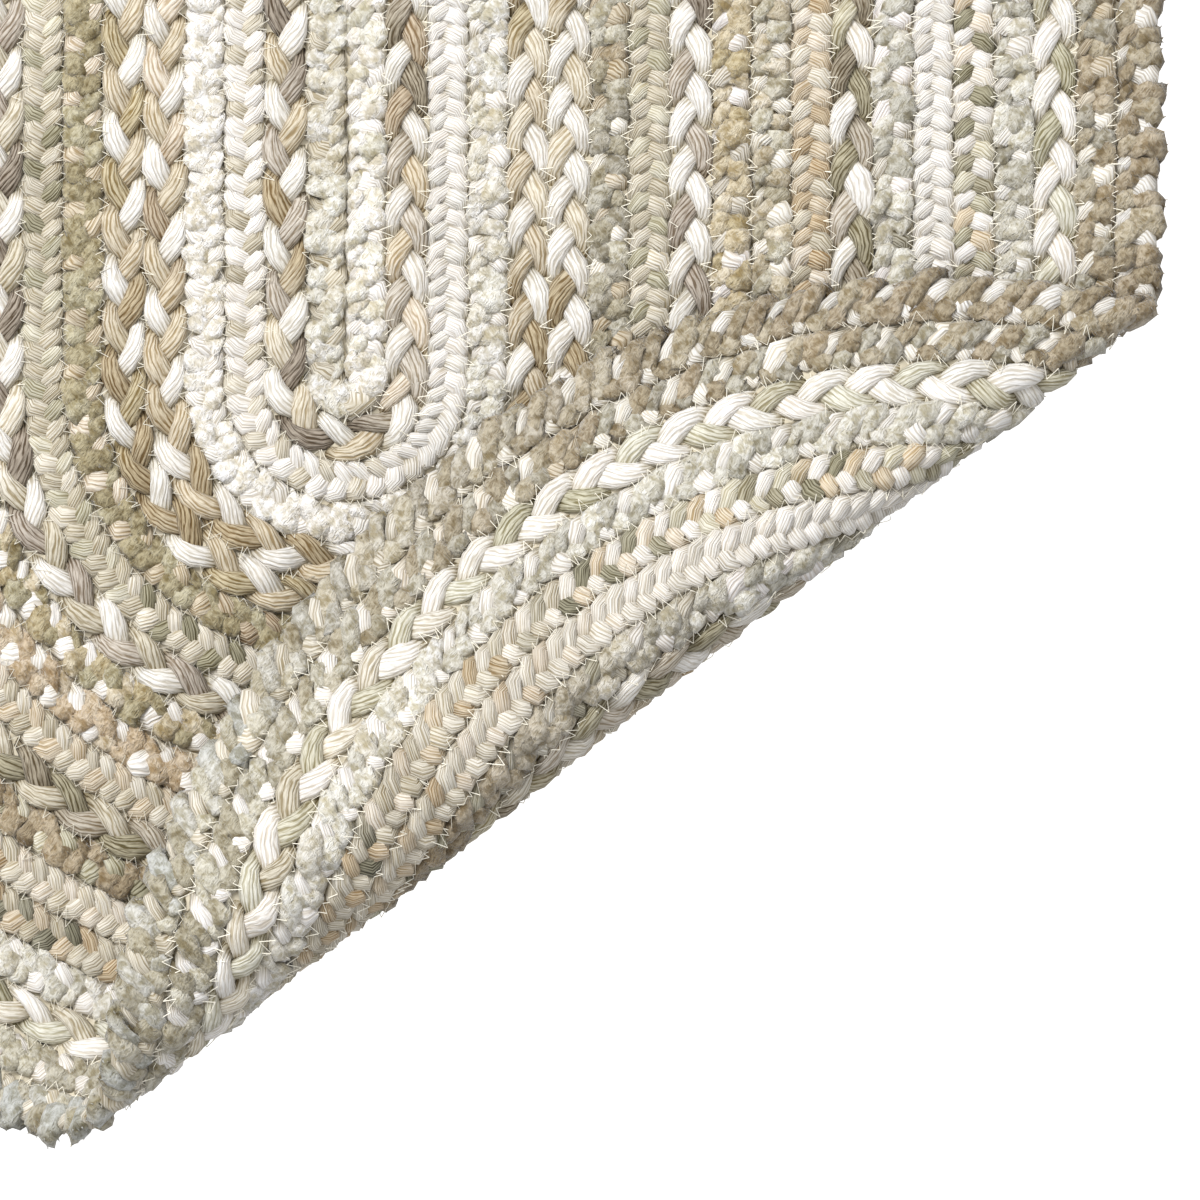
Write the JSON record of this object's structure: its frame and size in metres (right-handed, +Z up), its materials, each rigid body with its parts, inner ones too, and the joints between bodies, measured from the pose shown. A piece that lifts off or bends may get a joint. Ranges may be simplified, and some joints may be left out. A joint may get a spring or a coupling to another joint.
{
  "type": "braided rug",
  "caption": "Oval braided rug in cream, beige and sage: rings of cabled, chenille and flat braid laced edge to edge, lying flat with one end corner turned over.",
  "frame": {"origin": "on the floor, under the middle of the box round the rug as it lies", "axes": "+Y along the rug's length, away from the turned end; +X across it, towards the turned corner's side; +Z up"},
  "size_m": [0.6098, 0.8912, 0.0827],
  "materials": {
    "chenille_cream": "fuzzy pile",
    "chenille_olive": "fuzzy pile",
    "chenille_sand": "fuzzy pile",
    "chenille_grey": "fuzzy pile",
    "chenille_taupe": "fuzzy pile",
    "cable_gold_grey": "matt spun yarn",
    "cable_gold": "matt spun yarn",
    "cable_mauve": "matt spun yarn",
    "cable_sage": "matt spun yarn",
    "flat_cream": "matt spun yarn",
    "flat_sage": "matt spun yarn",
    "flat_sand": "matt spun yarn"
  },
  "bodies": {
    "root": {"row_01_chenille": "chenille_cream", "row_02_cable": "cable_gold_grey", "row_03_flat": "flat_cream", "row_04_chenille": "chenille_cream", "row_05_cable": "cable_gold", "row_06_cable": "cable_gold", "row_07_chenille": "chenille_olive", "row_08_flat": "flat_sage", "row_09_cable": "cable_mauve", "row_10_chenille": "chenille_olive", "row_11_chenille": "chenille_sand", "row_12_flat": "flat_sand", "row_13_cable": "cable_mauve", "row_14_chenille": "chenille_grey", "row_15_flat": "flat_cream", "row_16_flat": "flat_sage", "row_17_chenille": "chenille_grey", "row_18_cable": "cable_sage", "row_19_chenille": "chenille_taupe", "row_20_chenille": "chenille_taupe"}
  },
  "joints": []
}
